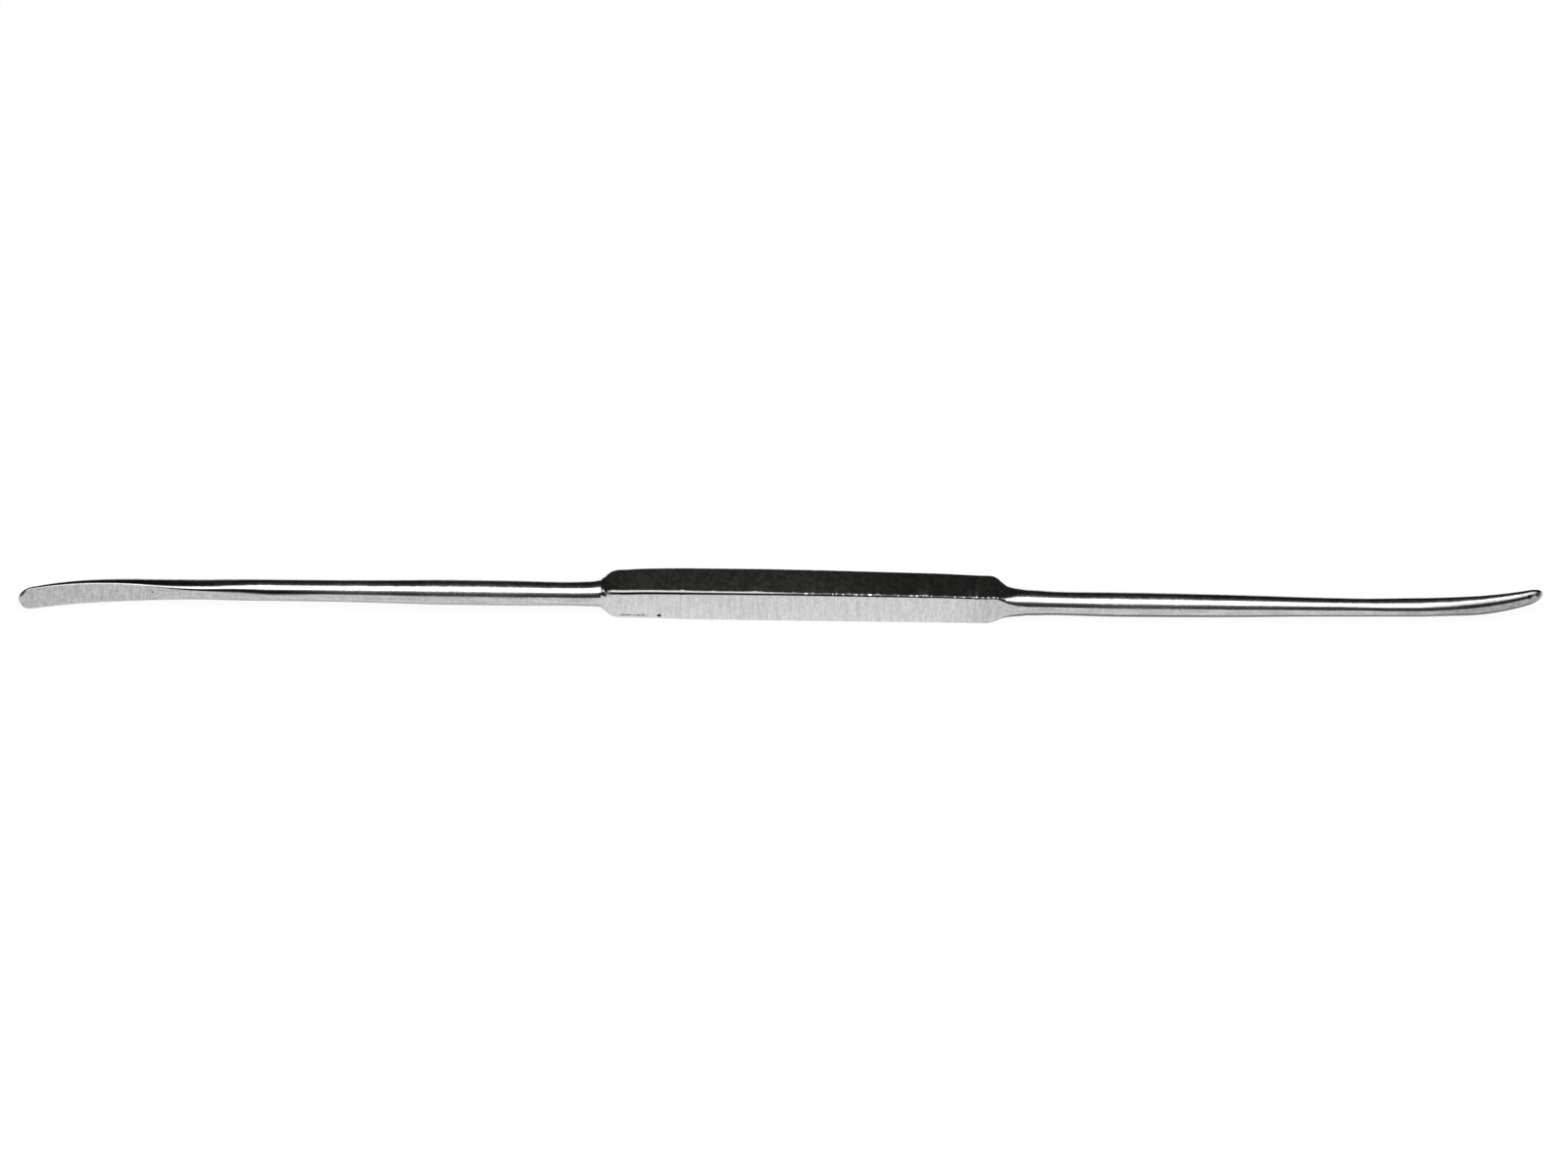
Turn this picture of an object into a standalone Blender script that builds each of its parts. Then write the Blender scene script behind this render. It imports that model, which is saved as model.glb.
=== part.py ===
"""Double-ended surgical retractor, ground from one bar of stainless steel.

The length lies along X and the handle's underside rests on z = 0, with +Z up.
A square handle thins at a shoulder to a round shaft on each side, and each shaft runs
out into a small half-round blade. The left blade, at -X, has its flat in front and
bends forward (-Y); the right blade, at +X, has its flat behind and bends back (+Y).

The piece is one loft. Every section is four elliptic corners joined by flats, so the
square, the round and the half-round sections share one layout of points.
Sizes are in millimetres here, and the finished mesh is in metres.
A profile is a row of (x, value) points that the surface passes through smoothly.
"""

import math
from dataclasses import dataclass

import bmesh
import bpy
from mathutils import Matrix

NAME = "retractor"
MM = 0.001
LENGTH = 190.0

# Square handle, slightly barrelled, with its long edges sharper towards +X
HANDLE_ENDS = (-20.0, 25.6)
HANDLE_WIDTH = ((-20.0, 4.57), (-17.0, 4.70), (-11.0, 4.81), (-4.0, 4.80), (3.0, 4.74), (13.0, 4.59),
                (20.0, 4.475), (25.6, 4.34))
HANDLE_FRONT = ((-20.0, -2.30), (-10.0, -2.44), (5.0, -2.40), (25.6, -2.30))
HANDLE_EDGE = ((-20.0, 0.62), (-8.0, 0.50), (8.0, 0.37), (25.6, 0.28))

# Shoulders, from square to round: width, edge radius, and the stops of the loft
LEFT_SHOULDER_WIDTH = ((-22.5, 3.42), (-22.2, 3.33), (-21.6, 3.92), (-21.0, 4.36), (-20.0, 4.57))
LEFT_SHOULDER_EDGE = ((-22.5, 1.71), (-22.2, 0.95), (-21.6, 0.80), (-21.0, 0.70), (-20.0, 0.62))
LEFT_SHOULDER_STOPS = (-22.5, -22.35, -22.2, -21.9, -21.6, -21.3, -21.0, -20.5)
RIGHT_SHOULDER_WIDTH = ((25.6, 4.34), (26.35, 4.23), (26.8, 4.02), (27.75, 3.42), (28.25, 3.28), (29.7, 3.32),
                        (30.9, 3.20))
RIGHT_SHOULDER_EDGE = ((25.6, 0.28), (26.8, 0.34), (27.75, 0.62), (28.25, 0.92), (29.7, 1.50), (30.9, 1.60))
RIGHT_SHOULDER_STOPS = (26.0, 26.35, 26.6, 26.8, 27.2, 27.5, 27.75, 28.0, 28.25, 28.7, 29.2, 29.7, 30.3)
FILLET_LENGTH = 5.0


@dataclass(frozen=True)
class End:
    """A round shaft and its blade, on one side of the handle."""

    side: int            # -1 for the left end, 1 for the right
    axis: tuple          # (y, z) of the shaft's axis
    climb: tuple         # profile: share of the way from that axis to the handle's middle
    shaft: tuple         # profile: radius of the shaft
    half_width: tuple    # profile: half the blade's height
    thickness: tuple     # profile: from the flat to the back
    rim: tuple           # profile: radius of the edge between flat and back
    cut: tuple           # profile: angle in degrees where the flat cuts that edge
    middle: tuple        # profile: how far the section's middle lies behind the axis
    bend_start: float
    bend_radius: float
    tip_width: float     # length over which the width rounds off at the tip
    tip_depth: float     # length over which the thickness runs out at the tip
    nose: float          # share of the way from flat to back at which the tip closes


LEFT = End(
    side=-1,
    axis=(-0.09, 2.19),
    climb=((-27.0, 0.0), (-24.0, 0.25), (-22.2, 1.0)),
    shaft=((-73.0, 1.11), (-65.0, 1.345), (-55.0, 1.38), (-48.5, 1.47), (-41.0, 1.585), (-34.0, 1.575),
           (-27.0, 1.50), (-24.0, 1.57), (-23.4, 1.60), (-22.5, 1.71)),
    half_width=((-94.0, 1.72), (-91.0, 1.75), (-87.2, 1.72), (-83.7, 1.60), (-80.3, 1.435), (-76.9, 1.22),
                (-73.0, 1.11)),
    thickness=((-95.8, 0.72), (-91.0, 1.20), (-86.0, 1.59), (-80.3, 2.02), (-74.5, 2.51), (-69.0, 2.65),
               (-63.2, 2.73)),
    rim=((-94.0, 0.22), (-87.2, 0.37), (-80.3, 0.43), (-74.5, 0.66), (-69.0, 0.885), (-63.2, 1.365)),
    cut=((-90.0, 47.0), (-83.0, 50.0), (-76.0, 31.5), (-70.5, 20.0), (-63.2, 0.0)),
    middle=((-92.0, 0.27), (-84.0, 0.165), (-76.0, 0.21), (-70.0, 0.19), (-63.2, 0.0)),
    bend_start=-79.8,
    bend_radius=47.5,
    tip_width=1.7,
    tip_depth=0.45,
    nose=0.5,
)
RIGHT = End(
    side=1,
    axis=(-0.42, 1.84),
    climb=((25.6, 1.0), (26.7, 1.09), (27.7, 0.73), (28.3, 0.40), (29.7, 0.26), (32.2, 0.19), (36.0, 0.08),
           (42.0, 0.0)),
    shaft=((30.9, 1.60), (34.6, 1.485), (42.0, 1.535), (49.3, 1.50), (56.6, 1.405), (66.4, 1.215),
           (74.5, 1.14), (79.0, 1.18)),
    half_width=((79.0, 1.18), (83.5, 1.20), (86.0, 1.28), (88.4, 1.29), (91.2, 1.205), (94.5, 1.055)),
    thickness=((70.0, 2.32), (74.5, 2.10), (79.0, 1.86), (83.5, 1.79), (87.5, 1.55), (92.0, 1.18),
               (96.5, 0.90)),
    rim=((70.0, 1.16), (79.0, 0.60), (83.5, 0.64), (92.0, 0.30)),
    cut=((70.0, 0.0), (76.0, 24.5), (80.0, 46.0)),
    middle=((70.0, 0.0), (79.0, -0.14), (84.0, 0.07), (88.0, -0.05), (92.0, -0.09)),
    bend_start=82.2,
    bend_radius=31.0,
    tip_width=1.9,
    tip_depth=2.6,
    nose=0.1,
)

# Fineness of the loft
CORNER_STEPS = 8
HANDLE_STEP = 4.0
SHAFT_STEP = 2.6
FILLET_STEP = 0.85
BLADE_STEP = 1.3
TIP_STEPS = 8
TIP_END = 0.004
WELD = 1e-4

STEEL_COLOUR = (0.62, 0.62, 0.61, 1.0)
STEEL_ROUGHNESS = 0.28
SHARP_ANGLE = math.radians(25.0)


def clear_scene():
    for item in list(bpy.data.objects):
        bpy.data.objects.remove(item, do_unlink=True)


def slope_between(before, after):
    """Slope of a profile at a point, level where the profile turns back."""
    if before * after <= 0.0:
        return 0.0
    return 2.0 * before * after / (before + after)


def value_at(profile, x):
    """Value of a profile at x, on a smooth curve that never overshoots its points."""
    if x <= profile[0][0]:
        return profile[0][1]
    if x >= profile[-1][0]:
        return profile[-1][1]
    steps = [(right[1] - left[1]) / (right[0] - left[0]) for left, right in zip(profile, profile[1:])]
    slopes = [0.0] + [slope_between(*pair) for pair in zip(steps, steps[1:])] + [0.0]
    index = max(i for i, point in enumerate(profile) if point[0] <= x)
    x0, value0 = profile[index]
    x1, value1 = profile[index + 1]
    span = x1 - x0
    t = (x - x0) / span
    rise = value1 - value0
    start = slopes[index] * span
    end = slopes[index + 1] * span
    return value0 + start * t + (3.0 * rise - 2.0 * start - end) * t**2 + (start + end - 2.0 * rise) * t**3


def evenly(first, last, step):
    """Places from first up to, but not at, last."""
    count = max(1, round(abs(last - first) / step))
    return [first + (last - first) * i / count for i in range(count)]


def section(front, back, half, front_corner, back_corner):
    """Ring of (y, z) points; a corner is its radius in y, its radius in z and its cut angle."""
    front_y, front_z, front_cut = front_corner
    back_y, back_z, back_cut = back_corner
    front_centre = front + front_y * math.cos(front_cut)
    back_centre = back - back_y * math.cos(back_cut)
    shares = [step / CORNER_STEPS for step in range(CORNER_STEPS + 1)]
    upper = []
    for share in shares:
        angle = front_cut + (math.pi / 2 - front_cut) * share
        upper.append((front_centre - front_y * math.cos(angle), half - front_z + front_z * math.sin(angle)))
    for share in shares:
        angle = math.pi / 2 - (math.pi / 2 - back_cut) * share
        upper.append((back_centre + back_y * math.cos(angle), half - back_z + back_z * math.sin(angle)))
    return upper + [(y, -z) for y, z in reversed(upper)]


def square_ring(x, width, edge, middle_y, middle_z):
    corner = (edge, edge, 0.0)
    points = section(middle_y - width / 2, middle_y + width / 2, width / 2, corner, corner)
    return [(x, y, middle_z + z) for y, z in points]


def handle_place(x):
    """Width of the handle at x, and its middle (y, z); its underside lies on z = 0."""
    width = value_at(HANDLE_WIDTH, x)
    return width, value_at(HANDLE_FRONT, x) + width / 2, width / 2


def axis_place(end, x):
    """Middle (y, z) of an end's section, as it climbs from the shaft's axis to the handle's."""
    share = value_at(end.climb, x)
    _, handle_y, handle_z = handle_place(HANDLE_ENDS[0] if end.side < 0 else HANDLE_ENDS[1])
    axis_y, axis_z = end.axis
    return axis_y + (handle_y - axis_y) * share, axis_z + (handle_z - axis_z) * share


def handle_rings():
    rings = []
    first, last = HANDLE_ENDS
    for x in evenly(first, last, HANDLE_STEP) + [last]:
        width, middle_y, middle_z = handle_place(x)
        rings.append(square_ring(x, width, value_at(HANDLE_EDGE, x), middle_y, middle_z))
    return rings


def shoulder_rings(end, widths, edges, stops):
    rings = []
    for x in stops:
        width = value_at(widths, x)
        edge = min(value_at(edges, x), width / 2)
        rings.append(square_ring(x, width, edge, *axis_place(end, x)))
    return rings


def blade_start(end):
    """Where the flat begins to be ground into the round shaft."""
    return end.cut[-1][0] if end.side < 0 else end.cut[0][0]


def shaft_or_blade_section(end, x):
    """Round section, or one with a flat on one side and an elliptic back on the other."""
    on_shaft = end.side * (x - blade_start(end)) < 0.0
    narrowed = end.side * (x - end.half_width[0 if end.side > 0 else -1][0]) > 0.0
    half = value_at(end.half_width if narrowed else end.shaft, x)
    thickness = 2.0 * half if on_shaft else value_at(end.thickness, x)
    rim = half if on_shaft else min(value_at(end.rim, x), half)
    cut = 0.0 if on_shaft else math.radians(value_at(end.cut, x))
    middle = 0.0 if on_shaft else value_at(end.middle, x)
    flat_corner = (rim, rim, cut)
    back_corner = (thickness - rim * math.cos(cut), half, 0.0)
    corners = (flat_corner, back_corner) if end.side < 0 else (back_corner, flat_corner)
    return section(middle - thickness / 2, middle + thickness / 2, half, *corners)


def round_tip(points, to_tip, end):
    """Close a blade section in on the nose of its tip."""
    width = math.sqrt(1.0 - max(0.0, 1.0 - to_tip / end.tip_width) ** 2)
    depth = math.sqrt(1.0 - max(0.0, 1.0 - to_tip / end.tip_depth) ** 2)
    flat = end.side * max(end.side * y for y, _ in points)
    back = end.side * min(end.side * y for y, _ in points)
    nose = flat + (back - flat) * end.nose
    return [(nose + (y - nose) * depth, z * width) for y, z in points]


def bend(end, x, y):
    """Carry a point past the start of the bend along its arc, square to the centre line."""
    run = end.side * (x - end.bend_start)
    if run <= 0.0:
        return x, y
    angle = run / end.bend_radius
    arm = end.bend_radius - end.side * y
    forward = arm * math.sin(angle)
    aside = end.bend_radius - arm * math.cos(angle)
    return end.bend_start + end.side * forward, end.side * aside


def tip_place(end):
    """Length along the bent centre line, as an x, at which the blade reaches the full length."""
    thickness = end.thickness[0 if end.side < 0 else -1][1]
    middle = end.middle[0 if end.side < 0 else -1][1]
    arm = end.bend_radius - (0.5 - end.nose) * thickness - end.side * middle
    return end.bend_start + end.side * end.bend_radius * math.asin((LENGTH / 2 - abs(end.bend_start)) / arm)


def end_stops(end, shoulder):
    """Places of an end's sections, from its shoulder to its tip and crowding up there."""
    tip = tip_place(end)
    closing = max(end.tip_width, end.tip_depth)
    round_start = tip - end.side * closing
    fillet_end = shoulder + end.side * FILLET_LENGTH
    stops = evenly(shoulder, fillet_end, FILLET_STEP)
    stops += evenly(fillet_end, blade_start(end), SHAFT_STEP)
    stops += evenly(blade_start(end), end.bend_start, BLADE_STEP)
    stops += evenly(end.bend_start, round_start, BLADE_STEP)
    for step in range(TIP_STEPS):
        stops.append(round_start + end.side * closing * math.sin(math.pi / 2 * step / TIP_STEPS))
    return stops + [tip - end.side * TIP_END], tip


def end_rings(end, shoulder):
    """Sections of a shaft and its blade, bent and placed, from the shoulder outwards."""
    stops, tip = end_stops(end, shoulder)
    rings = []
    for x in stops:
        middle_y, middle_z = axis_place(end, x)
        ring = []
        for y, z in round_tip(shaft_or_blade_section(end, x), abs(tip - x), end):
            bent_x, bent_y = bend(end, x, y)
            ring.append((bent_x, middle_y + bent_y, middle_z + z))
        rings.append(ring)
    return rings


def all_rings():
    """Every section of the loft, from the left tip to the right."""
    left_shoulder = shoulder_rings(LEFT, LEFT_SHOULDER_WIDTH, LEFT_SHOULDER_EDGE, LEFT_SHOULDER_STOPS)
    right_shoulder = shoulder_rings(RIGHT, RIGHT_SHOULDER_WIDTH, RIGHT_SHOULDER_EDGE, RIGHT_SHOULDER_STOPS)
    left_end = end_rings(LEFT, LEFT_SHOULDER_STOPS[0])
    right_end = end_rings(RIGHT, RIGHT_SHOULDER_WIDTH[-1][0])
    return left_end[:0:-1] + left_shoulder + handle_rings() + right_shoulder + right_end


def loft(rings):
    """Skin the rings with quads, close both tips, and weld the points that coincide."""
    shape = bmesh.new()
    loops = [[shape.verts.new(point) for point in ring] for ring in rings]
    count = len(loops[0])
    for near, far in zip(loops, loops[1:]):
        for i in range(count):
            j = (i + 1) % count
            shape.faces.new((near[i], near[j], far[j], far[i]))
    shape.faces.new(loops[0][::-1])
    shape.faces.new(loops[-1])
    bmesh.ops.remove_doubles(shape, verts=shape.verts, dist=WELD)
    bmesh.ops.dissolve_degenerate(shape, edges=shape.edges, dist=WELD)
    bmesh.ops.recalc_face_normals(shape, faces=shape.faces)
    return shape


def centre_in_plan(mesh):
    """Put the middle of the bounding box over the origin."""
    xs = [vertex.co.x for vertex in mesh.vertices]
    ys = [vertex.co.y for vertex in mesh.vertices]
    shift = ((min(xs) + max(xs)) / -2, (min(ys) + max(ys)) / -2, 0.0)
    mesh.transform(Matrix.Translation(shift))


def ground_steel():
    material = bpy.data.materials.new("ground_steel")
    material.use_nodes = True
    shader = material.node_tree.nodes["Principled BSDF"]
    shader.inputs["Base Color"].default_value = STEEL_COLOUR
    shader.inputs["Metallic"].default_value = 1.0
    shader.inputs["Roughness"].default_value = STEEL_ROUGHNESS
    return material


def build_retractor(collection):
    shape = loft(all_rings())
    mesh = bpy.data.meshes.new(NAME)
    shape.to_mesh(mesh)
    shape.free()
    mesh.transform(Matrix.Scale(MM, 4))
    centre_in_plan(mesh)
    mesh.shade_smooth()
    mesh.set_sharp_from_angle(angle=SHARP_ANGLE)
    mesh.materials.append(ground_steel())
    collection.objects.link(bpy.data.objects.new(NAME, mesh))


def main():
    clear_scene()
    collection = bpy.data.collections.new("surgical_retractor")
    bpy.context.scene.collection.children.link(collection)
    build_retractor(collection)


main()
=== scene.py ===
"""Dressed scene of the surgical retractor: fine ground steel, white table, soft studio light."""

import math
import random
from dataclasses import dataclass

import bpy
from mathutils import Matrix, Vector, noise


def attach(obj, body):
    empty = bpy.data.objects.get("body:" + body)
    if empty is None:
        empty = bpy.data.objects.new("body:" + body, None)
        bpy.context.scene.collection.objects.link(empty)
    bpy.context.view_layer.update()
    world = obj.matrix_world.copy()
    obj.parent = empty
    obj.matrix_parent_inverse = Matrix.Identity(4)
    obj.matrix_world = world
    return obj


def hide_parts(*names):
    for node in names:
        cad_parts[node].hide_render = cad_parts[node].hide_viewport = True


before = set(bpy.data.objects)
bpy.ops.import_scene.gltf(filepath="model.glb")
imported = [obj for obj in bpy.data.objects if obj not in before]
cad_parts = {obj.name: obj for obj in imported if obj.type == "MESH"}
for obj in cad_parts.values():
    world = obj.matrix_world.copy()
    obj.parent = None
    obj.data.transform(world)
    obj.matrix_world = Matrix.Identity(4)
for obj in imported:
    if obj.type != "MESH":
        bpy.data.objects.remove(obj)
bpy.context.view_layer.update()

NODE = "retractor"
MM = 0.001
LENGTH = 190.0

# Square handle, as in the part's source
HANDLE_ENDS = (-20.0, 25.6)
HANDLE_WIDTH = ((-20.0, 4.57), (-17.0, 4.70), (-11.0, 4.81), (-4.0, 4.80), (3.0, 4.74), (13.0, 4.59),
                (20.0, 4.475), (25.6, 4.34))
HANDLE_FRONT = ((-20.0, -2.30), (-10.0, -2.44), (5.0, -2.40), (25.6, -2.30))
HANDLE_EDGE = ((-20.0, 0.62), (-8.0, 0.50), (8.0, 0.37), (25.6, 0.28))

LEFT_SHOULDER_WIDTH = ((-22.5, 3.42), (-22.2, 3.33), (-21.6, 3.92), (-21.0, 4.36), (-20.0, 4.57))
LEFT_SHOULDER_EDGE = ((-22.5, 1.71), (-22.2, 0.95), (-21.6, 0.80), (-21.0, 0.70), (-20.0, 0.62))
RIGHT_SHOULDER_WIDTH = ((25.6, 4.34), (26.35, 4.23), (26.8, 4.02), (27.75, 3.42), (28.25, 3.28),
                        (29.7, 3.32), (30.9, 3.20))
RIGHT_SHOULDER_EDGE = ((25.6, 0.28), (26.8, 0.34), (27.75, 0.62), (28.25, 0.92), (29.7, 1.50), (30.9, 1.60))
FILLET_LENGTH = 5.0


@dataclass(frozen=True)
class End:
    """A round shaft and its blade, as in the part's source; profiles are (x, value) points."""

    side: int
    axis: tuple
    climb: tuple
    shaft: tuple
    half_width: tuple
    thickness: tuple
    rim: tuple
    cut: tuple
    middle: tuple
    bend_start: float
    bend_radius: float
    tip_width: float
    tip_depth: float
    nose: float


LEFT = End(
    side=-1,
    axis=(-0.09, 2.19),
    climb=((-27.0, 0.0), (-24.0, 0.25), (-22.2, 1.0)),
    shaft=((-73.0, 1.11), (-65.0, 1.345), (-55.0, 1.38), (-48.5, 1.47), (-41.0, 1.585), (-34.0, 1.575),
           (-27.0, 1.50), (-24.0, 1.57), (-23.4, 1.60), (-22.5, 1.71)),
    half_width=((-94.0, 1.72), (-91.0, 1.75), (-87.2, 1.72), (-83.7, 1.60), (-80.3, 1.435), (-76.9, 1.22),
                (-73.0, 1.11)),
    thickness=((-95.8, 0.72), (-91.0, 1.20), (-86.0, 1.59), (-80.3, 2.02), (-74.5, 2.51), (-69.0, 2.65),
               (-63.2, 2.73)),
    rim=((-94.0, 0.22), (-87.2, 0.37), (-80.3, 0.43), (-74.5, 0.66), (-69.0, 0.885), (-63.2, 1.365)),
    cut=((-90.0, 47.0), (-83.0, 50.0), (-76.0, 31.5), (-70.5, 20.0), (-63.2, 0.0)),
    middle=((-92.0, 0.27), (-84.0, 0.165), (-76.0, 0.21), (-70.0, 0.19), (-63.2, 0.0)),
    bend_start=-79.8,
    bend_radius=47.5,
    tip_width=1.7,
    tip_depth=0.45,
    nose=0.5,
)
RIGHT = End(
    side=1,
    axis=(-0.42, 1.84),
    climb=((25.6, 1.0), (26.7, 1.09), (27.7, 0.73), (28.3, 0.40), (29.7, 0.26), (32.2, 0.19), (36.0, 0.08),
           (42.0, 0.0)),
    shaft=((30.9, 1.60), (34.6, 1.485), (42.0, 1.535), (49.3, 1.50), (56.6, 1.405), (66.4, 1.215),
           (74.5, 1.14), (79.0, 1.18)),
    half_width=((79.0, 1.18), (83.5, 1.20), (86.0, 1.28), (88.4, 1.29), (91.2, 1.205), (94.5, 1.055)),
    thickness=((70.0, 2.32), (74.5, 2.10), (79.0, 1.86), (83.5, 1.79), (87.5, 1.55), (92.0, 1.18),
               (96.5, 0.90)),
    rim=((70.0, 1.16), (79.0, 0.60), (83.5, 0.64), (92.0, 0.30)),
    cut=((70.0, 0.0), (76.0, 24.5), (80.0, 46.0)),
    middle=((70.0, 0.0), (79.0, -0.14), (84.0, 0.07), (88.0, -0.05), (92.0, -0.09)),
    bend_start=82.2,
    bend_radius=31.0,
    tip_width=1.9,
    tip_depth=2.6,
    nose=0.1,
)

# Fineness of the dressed surface: steps around a corner and along each part, steps of a tip's rounding,
# how near the last section lies to the tip, and the angle from which an edge is crisp
CORNER_STEPS = 20
HANDLE_STEP = 0.16
SHOULDER_STEP = 0.07
FILLET_STEP = 0.25
SHAFT_STEP = 0.9
BLADE_STEP = 0.45
TIP_STEPS = 24
TIP_END = 0.004
SHARP_ANGLE = math.radians(30.0)
# Each blade's flat has crisp edges from here to its tip
LEFT_FLAT_START = -65.0
RIGHT_FLAT_START = 71.5
# Share of a corner's arc over which the grain of a flat fades out
GRAIN_REACH = 0.25

# Small dents along the handle's four long edges: how many on each, the greatest depth on each in the
# order of a section's points, the greatest half length, its shares, and the place where they crowd
NICKS = 90
NICK_DEPTHS = (0.055, 0.015, 0.015, 0.03)
NICK_LENGTH = 0.20
NICK_LENGTH_SHARES = (0.4, 1.0)
NICK_CROWD_PLACE = 12.0
NICK_SEED = 11

# Waver of the shafts' radius by hand grinding: its height, its waves per millimetre and its noise row
WAVER = 0.006
WAVER_PITCH = 0.11
WAVER_ROW = 7.0


def slope_between(before, after):
    if before * after <= 0.0:
        return 0.0
    return 2.0 * before * after / (before + after)


def value_at(profile, x):
    """Value of a profile at x, on a smooth curve that never overshoots its points."""
    if x <= profile[0][0]:
        return profile[0][1]
    if x >= profile[-1][0]:
        return profile[-1][1]
    steps = [(right[1] - left[1]) / (right[0] - left[0]) for left, right in zip(profile, profile[1:])]
    slopes = [0.0] + [slope_between(*pair) for pair in zip(steps, steps[1:])] + [0.0]
    index = max(i for i, point in enumerate(profile) if point[0] <= x)
    x0, value0 = profile[index]
    x1, value1 = profile[index + 1]
    span = x1 - x0
    t = (x - x0) / span
    rise = value1 - value0
    start = slopes[index] * span
    end = slopes[index + 1] * span
    return value0 + start * t + (3.0 * rise - 2.0 * start - end) * t**2 + (start + end - 2.0 * rise) * t**3


def evenly(first, last, step):
    count = max(1, round(abs(last - first) / step))
    return [first + (last - first) * i / count for i in range(count)]


SHARES = [step / CORNER_STEPS for step in range(CORNER_STEPS + 1)]


def section(front, back, half, front_corner, back_corner):
    """Ring of (y, z) points; a corner is its radius in y, its radius in z and its cut angle."""
    front_y, front_z, front_cut = front_corner
    back_y, back_z, back_cut = back_corner
    front_centre = front + front_y * math.cos(front_cut)
    back_centre = back - back_y * math.cos(back_cut)
    upper = []
    for share in SHARES:
        angle = front_cut + (math.pi / 2 - front_cut) * share
        upper.append((front_centre - front_y * math.cos(angle), half - front_z + front_z * math.sin(angle)))
    for share in SHARES:
        angle = math.pi / 2 - (math.pi / 2 - back_cut) * share
        upper.append((back_centre + back_y * math.cos(angle), half - back_z + back_z * math.sin(angle)))
    return upper + [(y, -z) for y, z in reversed(upper)]


def edge_marks(front_weight, back_weight):
    """How far each point of a section lies on a worn edge, from 0 to 1."""
    upper = [front_weight * math.sin(math.pi * share) for share in SHARES]
    upper += [back_weight * math.sin(math.pi * share) for share in SHARES]
    return upper + upper[::-1]


def ground_marks(front_weight, back_weight):
    """How far each point of a section lies on a flat with a ground grain, from 0 to 1."""
    upper = [front_weight * max(0.0, 1.0 - share / GRAIN_REACH) for share in SHARES]
    upper += [back_weight * max(0.0, 1.0 - (1.0 - share) / GRAIN_REACH) for share in SHARES]
    return upper + upper[::-1]


def nick_list(seed, deepest):
    """Places, depths and half lengths of the dents along one edge."""
    rng = random.Random(seed)
    nicks = []
    for _ in range(NICKS):
        place = rng.triangular(*HANDLE_ENDS, NICK_CROWD_PLACE)
        depth = deepest * rng.random() ** 2
        nicks.append((place, depth, NICK_LENGTH * rng.uniform(*NICK_LENGTH_SHARES)))
    return nicks


NICKED_EDGES = [nick_list(NICK_SEED + edge, deepest) for edge, deepest in enumerate(NICK_DEPTHS)]


def nick_depth(edge, x):
    depths = [depth * (1.0 - ((x - place) / reach) ** 2) for place, depth, reach in NICKED_EDGES[edge]]
    return max(0.0, *depths)


def square_section(x, width, edge, middle_y, middle_z, worn):
    corner = (edge, edge, 0.0)
    points = section(middle_y - width / 2, middle_y + width / 2, width / 2, corner, corner)
    marks = edge_marks(1.0, 1.0)
    if worn:
        quarter = len(points) // 4
        dented = []
        for index, (y, z) in enumerate(points):
            push = marks[index] * nick_depth(index // quarter, x)
            dented.append((y - math.copysign(push, y - middle_y), z - math.copysign(push, z)))
        points = dented
    return [(x, y, middle_z + z) for y, z in points]


def handle_place(x):
    width = value_at(HANDLE_WIDTH, x)
    return width, value_at(HANDLE_FRONT, x) + width / 2, width / 2


def axis_place(end, x):
    share = value_at(end.climb, x)
    _, handle_y, handle_z = handle_place(HANDLE_ENDS[0] if end.side < 0 else HANDLE_ENDS[1])
    axis_y, axis_z = end.axis
    return axis_y + (handle_y - axis_y) * share, axis_z + (handle_z - axis_z) * share


def handle_rings():
    rings = []
    first, last = HANDLE_ENDS
    for x in evenly(first, last, HANDLE_STEP) + [last]:
        width, middle_y, middle_z = handle_place(x)
        points = square_section(x, width, value_at(HANDLE_EDGE, x), middle_y, middle_z, True)
        rings.append((points, edge_marks(1.0, 1.0), [1.0] * len(points)))
    return rings


def shoulder_rings(end, widths, edges):
    rings = []
    for x in evenly(widths[0][0], widths[-1][0], SHOULDER_STEP):
        if end.side > 0 and x == widths[0][0]:
            continue
        width = value_at(widths, x)
        edge = min(value_at(edges, x), width / 2)
        squareness = 1.0 - edge / (width / 2)
        points = square_section(x, width, edge, *axis_place(end, x), False)
        rings.append((points, edge_marks(squareness, squareness), [squareness] * len(points)))
    return rings


def blade_start(end):
    return end.cut[-1][0] if end.side < 0 else end.cut[0][0]


def shaft_or_blade_section(end, x):
    """Section of a shaft or blade, with its marks of wear and of grain."""
    on_shaft = end.side * (x - blade_start(end)) < 0.0
    narrowed = end.side * (x - end.half_width[0 if end.side > 0 else -1][0]) > 0.0
    half = value_at(end.half_width if narrowed else end.shaft, x)
    if on_shaft:
        half += WAVER * noise.noise(Vector((x * WAVER_PITCH, end.side * WAVER_ROW, 0.0)))
    thickness = 2.0 * half if on_shaft else value_at(end.thickness, x)
    rim = half if on_shaft else min(value_at(end.rim, x), half)
    cut = 0.0 if on_shaft else math.radians(value_at(end.cut, x))
    middle = 0.0 if on_shaft else value_at(end.middle, x)
    flat_corner = (rim, rim, cut)
    back_corner = (thickness - rim * math.cos(cut), half, 0.0)
    corners = (flat_corner, back_corner) if end.side < 0 else (back_corner, flat_corner)
    flatness = 1.0 - rim / half
    weights = (flatness, 0.0) if end.side < 0 else (0.0, flatness)
    points = section(middle - thickness / 2, middle + thickness / 2, half, *corners)
    return points, edge_marks(*weights), ground_marks(*weights)


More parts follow.
